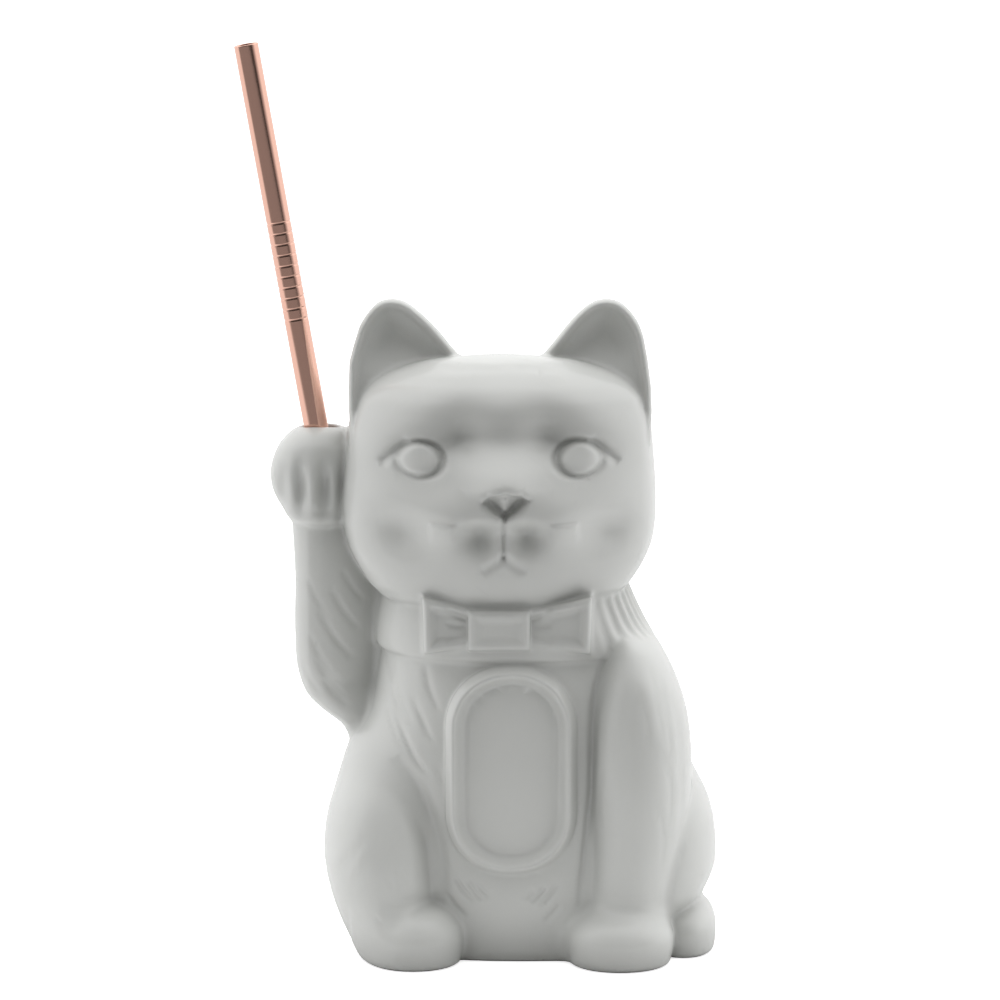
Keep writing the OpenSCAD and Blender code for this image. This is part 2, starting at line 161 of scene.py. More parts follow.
def bent(points, count=8):
    """A smooth line through three or more points."""
    p = [points[0]] + list(points) + [points[-1]]
    out = []
    for a, b, c, d in zip(p, p[1:], p[2:], p[3:]):
        for i in range(count):
            t = i / count
            out.append(tuple(
                0.5 * (2 * b[k] + (c[k] - a[k]) * t + (2 * a[k] - 5 * b[k] + 4 * c[k] - d[k]) * t * t
                       + (3 * b[k] - a[k] - 3 * c[k] + d[k]) * t**3) for k in range(2)))
    return out + [tuple(points[-1])]


def stroke(x, z, points, width, depth, fade=True):
    """A groove (depth above 0) or ridge (below 0) along a line, thinning out towards its ends."""
    d, t = line_distance(x, z, bent(points) if len(points) > 2 else points)
    ends = np.sqrt(np.clip(4 * t * (1 - t), 0, 1)) if fade else 1.0
    return -depth * np.exp(-(d / width) ** 2) * ends


# ---------------------------------------------------------------- the cat's parts

BODY = [  # z, left x, right x, front y, middle y, back y
    (-4, -40.0, 41.0, -29.0, 0, 36.0),
    (2, -41.0, 42.0, -31.0, 0, 38.0),
    (14, -42.0, 42.5, -33.0, 0, 40.5),
    (28, -42.5, 42.0, -33.4, 0, 41.0),
    (40, -42.8, 41.5, -33.8, 0, 39.5),
    (50, -42.4, 40.5, -34.0, 0, 37.0),
    (60, -37.8, 38.0, -33.8, 0, 34.5),
    (68, -36.0, 34.6, -33.6, 0, 32.5),
    (77, -34.6, 29.4, -32.0, 0, 30.0),
    (86, -33.0, 25.2, -29.5, 0, 27.5),
    (96, -32.0, 23.2, -27.5, 0, 25.0),
    (106, -30.0, 22.0, -25.0, 0, 24.0),
]
LEG = [
    (-4, 12.5, 35.0, -33.0, -16, 4),
    (6, 12.4, 35.6, -34.0, -16, 4),
    (15, 13.0, 37.6, -37.0, -16, 5),
    (30, 13.6, 40.8, -38.6, -15, 8),
    (47, 13.2, 41.9, -40.0, -14, 12),
    (62, 14.4, 40.2, -38.8, -12, 12),
    (70, 16.2, 37.2, -36.2, -10, 10),
    (76, 18.0, 33.6, -31.2, -8, 8),
    (82, 21.5, 27.4, -25.0, -6, 5),
]
ARM = [
    (50.6, -43.0, -37.0, -3, 2, 8),
    (54.2, -45.2, -37.0, -6, 2, 11),
    (57.6, -49.8, -34.0, -8, 3, 13),
    (60.3, -52.8, -30.0, -8.6, 3, 13.6),
    (64, -54.9, -27.0, -9.2, 3, 14.2),
    (68, -56.0, -27.0, -9.6, 3, 14.5),
    (77, -56.6, -24.0, -9.6, 3, 14.5),
    (91, -56.5, -25.0, -9.0, 3, 14),
    (100, -56.9, -32.0, -8.6, 3, 13.5),
    (108, -57.3, -38.0, -8.6, 3, 13.5),
]
PAW = [
    (103.5, -53.0, -45.0, -4, 2, 8),
    (105.5, -56.8, -42.0, -8, 2, 11.5),
    (109, -60.0, -40.0, -10.8, 2, 13.8),
    (113, -61.9, -38.8, -12, 2, 14.8),
    (117.5, -62.4, -38.4, -12.2, 2, 15.0),
    (122, -61.3, -39.0, -11.2, 2, 14.0),
    (125.5, -59.2, -40.8, -9.2, 2, 12.0),
    (128, -56.2, -43.6, -6.2, 2, 9.0),
    (129.5, -53.0, -47.0, -3.0, 2, 5.6),
]
HEAD = [
    (84.5, -14.0, 3.0, -18, -6, 2),
    (87, -28.6, 17.0, -28, -5, 12),
    (88.6, -34.0, 22.5, -30.5, -4, 18),
    (91, -37.6, 26.2, -32.5, -3, 23),
    (94, -40.0, 28.8, -34.0, -2, 27),
    (98.5, -42.6, 31.4, -35.2, -1, 31),
    (104, -44.4, 32.9, -36.0, 0, 34),
    (112, -45.0, 33.2, -36.6, 0, 36),
    (120, -44.2, 32.8, -36.8, 0, 36.6),
    (127, -43.2, 32.2, -36.2, 0, 36.4),
    (134, -42.0, 31.4, -34.6, 0, 35.2),
    (138.5, -40.2, 29.8, -32.2, -1, 33),
    (142, -36.2, 25.8, -28.8, -2, 30),
    (145, -29.4, 19.0, -24.2, -3, 25),
    (147.2, -20.6, 10.4, -18.4, -4, 17),
    (148.5, -10.4, 0.2, -12.2, -5, 5),
]
FLOOR, WALL = 5.9, 4.5
MOUTH = (-5.3, 12.1)   # x and y of the hole that the drink is poured in through
MOUTH_R, LIP_R, LIP_Z, BORE_Z = 17.5, 21.5, 141.7, 131.2
HOLE = np.array([-50.1, 2.0, 129.1])   # the straw's hole in the raised paw
CHANNEL_FOOT = np.array([-28.55, 6.84, 6.0])   # where the straw's axis meets the mug's floor
CHANNEL_R = 4.4
CHANNEL_START = 17   # mm along the axis from its foot: the channel is cut from here up

# the ears' outlines, x and z
EAR_RIGHT = [
    (-42.0, 126), (-42.5, 134), (-42.6, 139), (-42.4, 146), (-41.2, 150.5), (-39.9, 154.6), (-38.2, 157.4),
    (-36.2, 159.7), (-34.4, 160.8), (-32.1, 161.2), (-29.6, 160.8), (-27.3, 159.6), (-24.4, 157.2),
    (-21.8, 154.7), (-19.6, 152.2), (-17.4, 149.6), (-14, 146), (-13, 140), (-24, 132), (-34, 126),
]
EAR_LEFT = [
    (31.3, 126), (31.8, 134), (31.6, 140), (30.7, 147), (29.7, 152.3), (28.6, 155.2), (27.0, 157.6),
    (25.0, 159.7), (23.0, 160.8), (20.6, 161.2), (18.2, 160.8), (15.9, 159.6), (13.2, 157.2), (11.0, 154.7),
    (9.0, 152.2), (6.8, 149.6), (3.4, 146), (2.4, 140), (13, 132), (24, 126),
]


def hill(x, z, cx, cz, sx, rise, fall, amount):
    """A spot that is rise tall above its middle and fall tall below it."""
    return amount * np.exp(-((x - cx) / sx) ** 2 - ((z - cz) / np.where(z > cz, rise, fall)) ** 2)


def face_relief(x, z):
    """How far the face stands out of its plain oval, towards the front."""
    mx = -4.4
    arch = z + 7.0 * ((x - mx) / 30.0) ** 2
    # the forehead's bulge, rolling under to the brow
    r = hill(x, arch, mx, 137.0, 34, 10.0, 6.2, 2.2) + hill(x, arch, mx, 130.0, 26, 5.0, 5.0, -1.4)
    # the muzzle, and the nose's ramp from between the eyes down
    r = r + hill(x, z, mx, 109.5, 20, 10.0, 12, 5.6)
    r = r + hill(x, z, mx, 118.4, 6.8 + 0.35 * np.maximum(z - 118.4, 0), 7.6, 3.4, 5.8)
    r = r + spot(x, z, mx, 94.5, 11, 4.5, 0.8)
    # the nose's pad is a hollow under its upper edge
    pad = nose_outline(x, z)
    r = r - 3.3 * step(0.6, -1.7, pad) + 1.2 * np.exp(-((x - mx) / 1.3) ** 2) * step(-0.6, -2.4, pad)
    for side in (-1, 1):
        # the sockets: deepest beside the bridge
        r = r + spot(x, z, mx + side * 10.4, 130.2, 6.0, 6.6, -4.1, 26 * side)
        # dimples where the muzzle ends in the cheeks
        r = r + hill(x, z, mx + side * 23.5, 107.4, 7.4, 4.2, 6.5, -4.2)
        r = r + spot(x, z, mx + side * 13.5, 112.6, 9, 5.5, 1.7)
    return r


def nose_outline(x, z):
    """Distance inside a rounded triangle, point down."""
    return polygon_field(x, z, [(-10.1, 115.6), (-8.5, 117.8), (-4.2, 118.7), (-0.1, 117.9), (1.9, 115.9),
                                (-1.4, 112.9), (-4.1, 110.9), (-7.0, 112.9)])


def polygon_field(x, z, points):
    """Signed distance to a closed outline, below zero inside it."""
    d, _ = line_distance(x, z, list(points) + [points[0]])
    inside = np.zeros(d.shape, bool)
    for (ax, az), (bx, bz) in zip(points, points[1:] + points[:1]):
        crosses = (az > z) != (bz > z)
        at = ax + (z - az) / ((bz - az) or 1e-9) * (bx - ax)
        inside ^= crosses & (x < at)
    return np.where(inside, -d, d)


def stadium_field(x, z, cx, cz, w, h, squareness=2.0):
    """Distance to a long round-ended oval."""
    half = max((h - w) / 2, 0)
    dz = np.maximum(np.abs(z - cz) - half, 0)
    return (np.abs(x - cx) ** squareness + dz ** squareness) ** (1 / squareness) - w / 2


def blur(field, passes):
    """Rounds off the corners of an outline's field."""
    for _ in range(passes):
        p = np.pad(field, 1, mode="edge")
        field = (p[:-2, 1:-1] + p[2:, 1:-1] + p[1:-1, :-2] + p[1:-1, 2:] + 4 * field) / 8
    return field


def fur(x, z):
    """Strokes pressed into the front of the body, the foreleg and the haunch."""
    r = 0
    strokes = [
        # chest, on the raised arm's side
        ([(-34.5, 75), (-31.8, 66), (-28.5, 58)], 0.75, 0.40),
        ([(-32.0, 72), (-29.4, 64), (-26.6, 57.5)], 0.7, 0.35),
        ([(-31.5, 62), (-28.3, 54), (-24.2, 47.5)], 0.75, 0.45),
        ([(-29.5, 58), (-26.4, 51), (-23.2, 46.8)], 0.7, 0.35),
        ([(-34.0, 64), (-31.6, 57), (-28.6, 51.5)], 0.7, 0.30),
        ([(-27.0, 66), (-24.6, 60), (-22.8, 55.6)], 0.7, 0.35),
        ([(-25.0, 62), (-22.8, 57), (-21.0, 54.0)], 0.6, 0.28),
        ([(-23.8, 73.6), (-22.6, 68), (-20.2, 62)], 0.9, 0.50),
        ([(-21.0, 50), (-19.4, 45.5), (-17.6, 42.4)], 0.6, 0.22),
        # tufts under the medallion
        ([(-16.6, 21.5), (-14.4, 18.6), (-11.8, 15.6)], 0.6, 0.30),
        ([(-13.8, 21.0), (-11.6, 18.0), (-9.6, 16.0)], 0.6, 0.32),
        ([(-11.2, 20.0), (-9.6, 18.2), (-8.2, 17.0)], 0.55, 0.26),
        ([(-18.6, 17.2), (-16.0, 13.8), (-13.6, 11.4)], 0.6, 0.26),
        ([(-20.0, 12.6), (-17.4, 9.4), (-14.6, 7.2)], 0.6, 0.18),
        ([(8.6, 20.6), (6.4, 17.4), (4.0, 14.6)], 0.6, 0.28),
        ([(5.6, 19.6), (3.6, 17.2), (2.0, 15.6)], 0.6, 0.30),
        ([(3.2, 18.8), (1.8, 17.4), (0.8, 16.4)], 0.5, 0.24),
        ([(9.6, 15.4), (7.2, 12.2), (5.0, 10.4)], 0.6, 0.20),
        # haunch
        ([(-40.5, 30.5), (-43.0, 26.5), (-46.0, 21.5)], 0.7, 0.22),
        ([(-38.0, 33.0), (-40.6, 28.0), (-43.6, 22.0)], 0.7, 0.24),
        ([(-36.5, 29.0), (-39.2, 24.4), (-42.4, 18.6)], 0.7, 0.20),
        ([(-43.8, 31.5), (-45.6, 28.5), (-47.6, 25.0)], 0.7, 0.16),
        ([(-33.4, 27.0), (-32.4, 22.0), (-29.4, 17.6)], 0.8, 0.22),
        ([(-30.6, 28.0), (-28.8, 23.0), (-26.4, 19.6)], 0.8, 0.22),
        ([(-37.0, 14.0), (-33.6, 11.4), (-30.4, 10.2)], 0.7, 0.18),
        # foreleg: long strokes down its outer side
        ([(33.0, 72), (35.2, 62), (36.2, 50)], 0.8, 0.30), ([(30.6, 74), (32.8, 66), (34.2, 56)], 0.8, 0.26),
        ([(36.4, 66), (38.2, 56), (38.6, 44)], 0.8, 0.34), ([(34.6, 54), (36.0, 44), (35.8, 34)], 0.8, 0.30),
        ([(38.0, 50), (38.8, 42), (38.2, 32)], 0.7, 0.28), ([(33.2, 40), (34.2, 32), (33.6, 24)], 0.7, 0.24),
        ([(28.0, 70), (29.8, 62), (30.8, 54)], 0.7, 0.18), ([(19.6, 50), (18.6, 42), (19.0, 34)], 0.7, 0.20),
        ([(21.4, 44), (20.4, 38), (20.6, 32)], 0.6, 0.16), ([(18.6, 28), (18.0, 22), (18.6, 16)], 0.6, 0.18),
    ]
    for points, width, depth in strokes:
        tuft = -20 < points[0][0] < 10 and points[0][1] < 22
        r = r + stroke(x, z, points, width, depth * (1.7 if tuft else 0.75))
    return r


def arm_fur(x, z):
    """Strokes pressed into the front of the raised arm."""
    r = 0
    for points, width, depth in [
        ([(-53.0, 78), (-49.4, 71), (-45.0, 65)], 0.9, 0.32),
        ([(-51.4, 72), (-47.8, 66), (-43.6, 61.5)], 0.9, 0.36),
        ([(-49.6, 66.5), (-46.6, 62.6), (-43.0, 59.6)], 0.8, 0.4),
        ([(-50.6, 84), (-46.6, 77), (-42.0, 71.5)], 0.9, 0.42),
        ([(-47.4, 89), (-44.0, 83), (-40.2, 78.5)], 0.9, 0.38),
        ([(-44.8, 94), (-42.0, 89), (-39.0, 85.5)], 0.8, 0.3),
        ([(-53.4, 92), (-50.6, 86), (-47.6, 81)], 0.8, 0.24),
        ([(-54.4, 70), (-52.6, 66), (-50.0, 62.5)], 0.7, 0.28),
    ]:
        r = r + stroke(x, z, points, width, depth)
    return r


def build_clay():
    """The mug's distance field: the cat's parts joined, its inside hollowed out, its sole cut flat."""
    field = np.full(SIZE, FAR, np.float32)
    skins = {}

    def put(at, solid, k):
        field[at] = smin(field[at], solid, k)

    def flat(at):
        return XS[at[0]][:, None].astype(float), ZS[at[2]][None, :].astype(float)

    # the body's oval
    at, x, y, z = window((-60, -50, -3), (54, 52, 108))
    body = as_distance(loft(x, y, z, BODY, 2.35))
    skins["body"] = (at, body.copy())
    field[at] = body
    # the haunches
    at, x, y, z = window((-60, -50, -3), (0, 40, 58))
    inward = 2.9 * step(27, 2, z)
    haunch = as_distance(egg(x - inward, y, z, (-34.2, -8, 22.0), (15.1, 30.5, 27.2), 2.25))
    put(at, haunch, 1.2 + 6.0 * step(28, 48, z))
    at, x, y, z = window((8, -48, -3), (54, 40, 54))
    inward = 2.0 * step(22, 11, z)
    haunch = as_distance(egg(x + inward, y, z, (33.2, 0, 23.4), (15.3, 31, 22.4), 2.25))
    put(at, haunch, 2.0 + 3.0 * step(30, 44, z))
    # the standing foreleg, rounded into the shoulder at its top
    at, x, y, z = window((4, -46, -3), (48, 20, 90))
    leg = as_distance(loft(x, y, z, LEG, 2.1))
    leg = smax(leg, z - 79.5, 4.0)
    put(at, leg, 1.2 + 4.5 * step(60, 80, z))
    # the feet
    at, x, y, z = window((2, -50, -3), (44, -6, 20))
    foot = as_distance(egg(x, y, upright(z, 6.0), (23.8, -29.8, 6.0), (13.4, 14.6, 8.6), 2.05))
    put(at, foot, 4.0)
    at, x, y, z = window((-42, -50, -3), (-6, -6, 24))
    foot = as_distance(egg(x, y, upright(z, 6.4), (-26.6, -28.4, 6.4), (12.4, 14.6, 9.6), 2.05))
    put(at, foot, 1.4 + 6.0 * step(-24, -36, x))
    at, x, y, z = window((28, -36, -3), (54, 22, 20))
    foot = as_distance(egg(x, y, upright(z, 5.4), (39.6, -10, 5.4), (8.6, 18, 7.8), 2.3))
    put(at, foot, 1.0)
    # the tail round the back
    at, x, y, z = window((-40, 26, -3), (30, 52, 44))
    tail = np.full(np.broadcast(x, y, z).shape, FAR, np.float32)
    for i in range(15):
        turn = math.radians(6 + 84 * i / 14)
        r = 6.5 - 1.2 * (i / 14) ** 2
        cz = 6.5 + 28.8 * math.sin(turn)
        cy = float(curve(BODY, np.array([cz]), 5)[0]) + 0.4
        ball = np.sqrt((x - (4.9 - 28.8 + 28.8 * math.cos(turn))) ** 2 + (y - cy) ** 2 + (z - cz) ** 2) - r
        tail = smin(tail, ball, 3.0)
    put(at, tail, 1.6)
    # the raised arm
    at, x, y, z = window((-66, -16, 44), (-24, 26, 112))
    fx, fz = flat(at)
    arm = loft(x, y, z, ARM, 2.2, -0.36 * np.clip(x + 53.0, 0, 16) * step(56, 66, z) * step(4, -4, y))
    arm = as_distance(smax(arm, 50.6 - z, 2.0))
    arm = arm - (arm_fur(fx, fz)[:, None, :] * step(6, -2, y)).astype(np.float32)
    put(at, arm, 2.4)

    # relief on the front of all this
    at, x, y, z = window((-56, -50, -3), (48, 4, 96))
    fx, fz = flat(at)
    r = fur(fx, fz)
    beside_foreleg = [(21.6, 77.7), (18.7, 71.6), (17.2, 61.9), (16.9, 44.8), (15.7, 32.6), (13.9, 14.3)]
    round_haunch = [(-30.8, 50.3), (-26.0, 44.8), (-23.0, 38.7), (-20.6, 31.4), (-19.4, 22.9), (-20.0, 15.5)]
    over_foot = [(-32.0, 15.4), (-25.5, 16.6), (-19.0, 15.0)]
    r = r + stroke(fx, fz, beside_foreleg, 0.9, 1.0)
    r = r + stroke(fx, fz, round_haunch, 1.6, 0.9)
    r = r + stroke(fx, fz, over_foot, 1.4, 0.3)
    field[at] -= (r[:, None, :] * step(2, -8, y)).astype(np.float32)

    # the collar, with pleats
    at, x, y, z = window((-46, -46, 70), (40, 46, 98))
    body_at, body = skins["body"]
    neck = body[tuple(slice(s.start - b.start, s.stop - b.start) for s, b in zip(at, body_at))]
    around = np.arctan2(y + 2.0, x + 3.3)
    pleat = 0.36 * np.cos(around * 46 + 0.10 * (z - 84)) * np.maximum(step(16, 24, x), step(2, 10, y))
    roll = 2.5 * np.clip(1 - ((z - 83.4) / 8.6) ** 2, 0, 1) ** 0.35
    band = smax(np.abs(z - 83.4) - 8.4 + 0 * x, neck - roll + pleat.astype(np.float32), 1.0)
    put(at, np.maximum(band, -neck - 3).astype(np.float32), 2.0)

    # the head
    at, x, y, z = window((-56, -50, 80), (46, 46, 152))
    fx, fz = flat(at)
    relief = face_relief(fx, fz)[:, None, :] * step(-2, -20, y)
    head = as_distance(loft(x, y, z, HEAD, 2.25, relief.astype(np.float32)))
    back = np.maximum(y + 19, 0)
    fall = np.where(back < 7.5, 0.02 * back**2, 0.3 * back - 1.125)
    head = smax(head, z - 149.5 + ((x + 5.3) / 30.0) ** 2 + fall, 3.0)
    skins["head"] = (at, head.copy())
    # nose, mouth and whiskers are finer, and go on as plain offsets
    fine = np.zeros(fx.shape[:1] + fz.shape[1:])
    for side in (-1, 1):
        nostril = [(-4.4 + side * 5.4, 115.6), (-4.4 + side * 3.0, 113.6), (-4.4 + side * 0.5, 111.8)]
        fine = fine + stroke(fx, fz, nostril, 0.9, 0.9)
        mouth = [(-4.6, 102.0), (-4.6 + side * 1.4, 100.5),
                 (-4.6 + side * 3.4, 98.9), (-4.6 + side * 5.4, 97.9)]
        fine = fine + stroke(fx, fz, mouth, 1.2, 0.75)
    fine = fine + stroke(fx, fz, [(-4.4, 112.0), (-4.6, 107), (-4.6, 101.8)], 0.7, 1.2, False)
    for side in (-1, 1):
        fine = fine + hill(fx, fz, -4.6 + side * 5.3, 107.4, 4.6, 2.6, 5.0, -4.6)
        away = (fx + 4.6) * side
        band = step(10.5, 12.5, away) * step(18.6, 17.4, away)
        fine = fine + 0.7 * band * step(110.0, 109.2, fz) * step(103.5, 107.5, fz)
    head = head - (fine[:, None, :] * step(-6, -22, y)).astype(np.float32)
    # eyes: a groove round each, and the ball in it
    for side in (-1, 1):
        cx, cz = (-25.0, 124.8) if side < 0 else (13.8, 125.0)
        rim = np.hypot((fx - cx) / 5.2, (fz - cz) / 3.95)
        inner = step(-3, 5, (fz - cz) * 0.7 - (fx - cx) * side * 0.7)
        lid = -(0.7 + 0.7 * inner) * np.exp(-((rim - 1.08) * 5.0 / 0.9) ** 2)
        crease = [(cx + side * 2.6, cz + 4.6), (cx + side * 5.6, cz + 2.2), (cx + side * 9.4, cz - 1.6)]
        corner = stroke(fx, fz, crease, 1.1, 1.3)
        ball = 1.9 * np.sqrt(np.clip(1 - rim**2, 0, 1) + 0.06)
        head = head - ((lid + ball + corner)[:, None, :] * step(-6, -20, y)).astype(np.float32)
    put(at, head, 1.2)

    # the ears: round-rimmed plates with a dished front
    for points in (EAR_RIGHT, EAR_LEFT):
        px = [p[0] for p in points]
        at, x, y, z = window((min(px) - 6, -28, 126), (max(px) + 6, 14, 166))
        fx, fz = flat(at)
        edge = blur(polygon_field(fx, fz, points), 4 if STEP < 1 else 1)[:, None, :]
        thick = 5.2 - 1.9 * step(134, 160, z)
        middle = -9.0 + 0.08 * (z - 140)
        dish = 2.6 * step(-1.0, -8.0, edge) * step(141, 151, z)
        dish = dish + 2.0 * step(-0.6, -3.0, edge)
        r = 2.4
        a, b = edge + r, np.abs(y - middle - dish / 2) - (thick - dish / 2) + r
        put(at, rounded(a, b, r).astype(np.float32), 1.2)

    # the raised paw, with the fingers' grooves
    at, x, y, z = window((-66, -20, 100), (-30, 24, 134))
    fx, fz = flat(at)
    paw = smax(as_distance(loft(x, y, z, PAW, 2.2)), z - 129.2, 1.5)
    grooves = np.zeros(fx.shape[:1] + fz.shape[1:])
    for gx, deep in ((-58.6, 0.9), (-54.4, 2.6), (-48.7, 2.8), (-44.0, 1.8)):
        grooves = grooves + spot(fx, fz, gx, 114.6, 1.7, 5.4, -deep)
    grooves = grooves + spot(fx, fz, -50, 106.2, 9, 2.0, 0.9)
    paw = paw - (grooves[:, None, :] * step(6, -2, y)).astype(np.float32)
    put(at, paw, 1.4)

    # the bow tie
    at, x, y, z = window((-32, -50, 70), (24, -14, 98))
    fx, fz = flat(at)
    outline = [(-24.4, 91), (-13, 88.5), (5, 88.5), (16.9, 91),
               (16.5, 76.8), (4, 78.6), (-13, 78.6), (-23.9, 76.8)]
    wings = polygon_field(fx, fz, outline)[:, None, :]
    front = -33.8 - 0.02 * (z - 84)
    folds = np.zeros(fx.shape[:1] + fz.shape[1:])
    for side, kx in ((-1, -13.2), (1, 1.8)):
        for dz in (-2.4, 0.4, 3.0):
            fold = [(kx, 83.3 + dz * 0.6), (kx + side * 5.5, 83.6 + dz * 1.5)]
            folds = folds + stroke(fx, fz, fold, 0.7, 0.8)
    r = 1.7
    a, b = wings + r, np.abs(y + 27.0) - (-27.0 - front) + r
    puff = 1.7 * step(-1.0, -3.6, wings) * step(-29, -33, y)
    bow = rounded(a, b, r) + puff - folds[:, None, :] * step(-28, -32, y)
    put(at, bow.astype(np.float32), 1.5)
    a = np.maximum(np.abs(x + 5.7) - 7.6, np.abs(z - 83.0) - 5.0) + r
    b = np.abs(y + 27.0) - 8.6 + r
    knot = rounded(a, b, r) + 0.8 * step(-0.8, -3.4, a - r) * step(-31, -34, y)
    put(at, knot.astype(np.float32), 0.6)

    # the medallion: a raised rim round a flat field
    at, x, y, z = window((-24, -46, 16), (18, -20, 80))
    fx, fz = flat(at)
    oval = stadium_field(fx, fz, -2.8, 48.4, 32.0, 51.7, 2.15)
    height = 3.2 * step(0.6, -1.9, oval) - 2.9 * step(-1.9, -4.8, oval)
    height = height + 0.1 * np.exp(-((oval + 6.2) / 0.5) ** 2)
    base = -33.2 + 0 * fz
    plate = np.maximum(oval[:, None, :], base[:, None, :] - height[:, None, :] - y)
    plate = np.maximum(plate, y + 26)
    put(at, plate.astype(np.float32), 0.9)

    # ---- hollow it out
    cavity = np.full(SIZE, FAR, np.float32)
    at, body = skins["body"]
    z = ZS[at[2]][None, None, :]
    inner = smax(smax(body + WALL, FLOOR - z, 5.0), z - 92, 3.0)
    cavity[at] = np.minimum(cavity[at], inner)
    at, head = skins["head"]
    z = ZS[at[2]][None, None, :]
    inner = smax(smax(head + WALL, 100.5 - z, 3.0), z - BORE_Z, 2.0)
    cavity[at] = np.minimum(cavity[at], inner)
    at, x, y, z = window((-34, -30, 84), (24, 30, 106))
    passage = np.hypot(x + 5.3, y + 1.5) - 21.0
    cavity[at] = smin(cavity[at], np.maximum(passage, np.abs(z - 96) - 9), 3.0)
    at, x, y, z = window((-40, -30, 120), (30, 46, 160))
    out = np.hypot(x - MOUTH[0], y - MOUTH[1])
    cavity[at] = smin(cavity[at], np.maximum(out - MOUTH_R, BORE_Z - 2 - z), 1.0)
    # the lip round the mouth
    aside = np.maximum(np.abs(out - (MOUTH_R + LIP_R) / 2) - 0.6, 0)
    ring = np.hypot(aside, np.maximum(np.abs(z - 137.5) - 2.9, 0)) - 1.4
    field[at] = smin(smax(field[at], -np.maximum(out - LIP_R - 0.6, LIP_Z - 0.6 - z), 2.0), ring, 1.4)
    # the straw's channel
    way = HOLE - CHANNEL_FOOT
    way = way / np.linalg.norm(way)
    at, x, y, z = window((-66, -20, 8), (-16, 26, 140))
    q = (x - CHANNEL_FOOT[0]) * way[0] + (y - CHANNEL_FOOT[1]) * way[1] + (z - CHANNEL_FOOT[2]) * way[2]
    off = np.sqrt((x - CHANNEL_FOOT[0] - q * way[0]) ** 2 + (y - CHANNEL_FOOT[1] - q * way[1]) ** 2
                  + (z - CHANNEL_FOOT[2] - q * way[2]) ** 2)
    bore = np.maximum(off - CHANNEL_R, CHANNEL_START - q)
    field[...] = smax(field, -cavity, 1.2)
    field[at] = smax(field[at], -bore, 1.0)
    # the sole is cut flat, with a small round where it meets the sides
    field[...] = smax(field, -ZS[None, None, :], 1.2)
    return field


def trilinear(field, points):
    """The field's value at any points."""
    u = (points - LOW) / STEP
    i = np.clip(np.floor(u).astype(int), 0, SIZE - 2)
    f = (u - i).astype(np.float32)
    value = 0
    for dx in (0, 1):
        for dy in (0, 1):
            for dz in (0, 1):
                w = ((f[:, 0] if dx else 1 - f[:, 0]) * (f[:, 1] if dy else 1 - f[:, 1])
                     * (f[:, 2] if dz else 1 - f[:, 2]))
                value = value + w * field[i[:, 0] + dx, i[:, 1] + dy, i[:, 2] + dz]
    return value


def slope(field, points, reach):
    """The field's gradient at any points, from samples that far to each side."""
    g = np.empty_like(points)
    for axis in range(3):
        d = np.zeros(3)
        d[axis] = reach
        g[:, axis] = (trilinear(field, points + d) - trilinear(field, points - d)) / (2 * reach)
    return g


def mesh_of(field):
    """The surface where the field is zero: points drawn onto it, faces, and normals from the field."""
    grid = openvdb.FloatGrid(background=3 * STEP)
    grid.copyFromArray(np.clip(field, -3 * STEP, 3 * STEP), tolerance=0)
    points, triangles, quads = grid.convertToPolygons(isovalue=0, adaptivity=MERGE_FLAT)
    points = points.astype(float) * STEP + LOW
    for _ in range(2):
        g = slope(field, points, 0.5 * STEP)
        size = np.maximum((g * g).sum(1), 0.05)
        move = np.clip(trilinear(field, points) / size, -0.4 * STEP, 0.4 * STEP)
        points = points - g * move[:, None]
    normals = slope(field, points, 0.8 * STEP)
    normals /= np.maximum(np.linalg.norm(normals, axis=1), 1e-6)[:, None]
    return points, triangles.tolist() + quads.tolist(), normals


def make_object(name, points, faces, normals=None, materials=()):
    mesh = bpy.data.meshes.new(name)
    mesh.from_pydata([tuple(p) for p in points * MM], [], [tuple(f) for f in faces])
    mesh.update()
    for m in materials:
        mesh.materials.append(m)
    mesh.shade_smooth()
    if normals is not None:
        mesh.normals_split_custom_set_from_vertices([tuple(n) for n in normals])
    obj = bpy.data.objects.new(name, mesh)
    bpy.context.scene.collection.objects.link(obj)
    return obj


# ---------------------------------------------------------------- materials

CONTACT_SHADOW_FROM, CONTACT_SHADOW_TO = 0.00055, 0.00035   # metres over the floor: the glaze's colour above the first, a painted contact shadow below the second


def principled(name, **values):
    """A material; an underscore in a key stands for the space in the socket's name."""
    m = bpy.data.materials.new(name)
    m.use_nodes = True
    shader = m.node_tree.nodes["Principled BSDF"]
    for key, value in values.items():
        shader.inputs[key.replace("_", " ")].default_value = value
    return m


glaze = principled(
    "glaze", Base_Color=(0.76, 0.772, 0.745, 1), Roughness=0.42, Coat_Weight=0.6, Coat_Roughness=0.08,
    Subsurface_Weight=0.10, Subsurface_Scale=0.003, Subsurface_Radius=(1.0, 0.95, 0.9))
# painted shade: the glaze's colour is darkened where nearby surfaces close it in, standing in for the shade
# in hollows and creases
tree = glaze.node_tree
painted_shade_ao = tree.nodes.new("ShaderNodeAmbientOcclusion")
painted_shade_ao.samples = 4
painted_shade_ao.inputs["Distance"].default_value = 0.013
painted_shade_tone = tree.nodes.new("ShaderNodeMix")
painted_shade_tone.data_type = "RGBA"
# the dark colour where the surface is most closed in is painted shade
painted_shade_tone.inputs["A"].default_value = (0.43, 0.434, 0.416, 1)
painted_shade_tone.inputs["B"].default_value = (0.80, 0.81, 0.785, 1)
tree.links.new(painted_shade_ao.outputs["AO"], painted_shade_tone.inputs["Factor"])
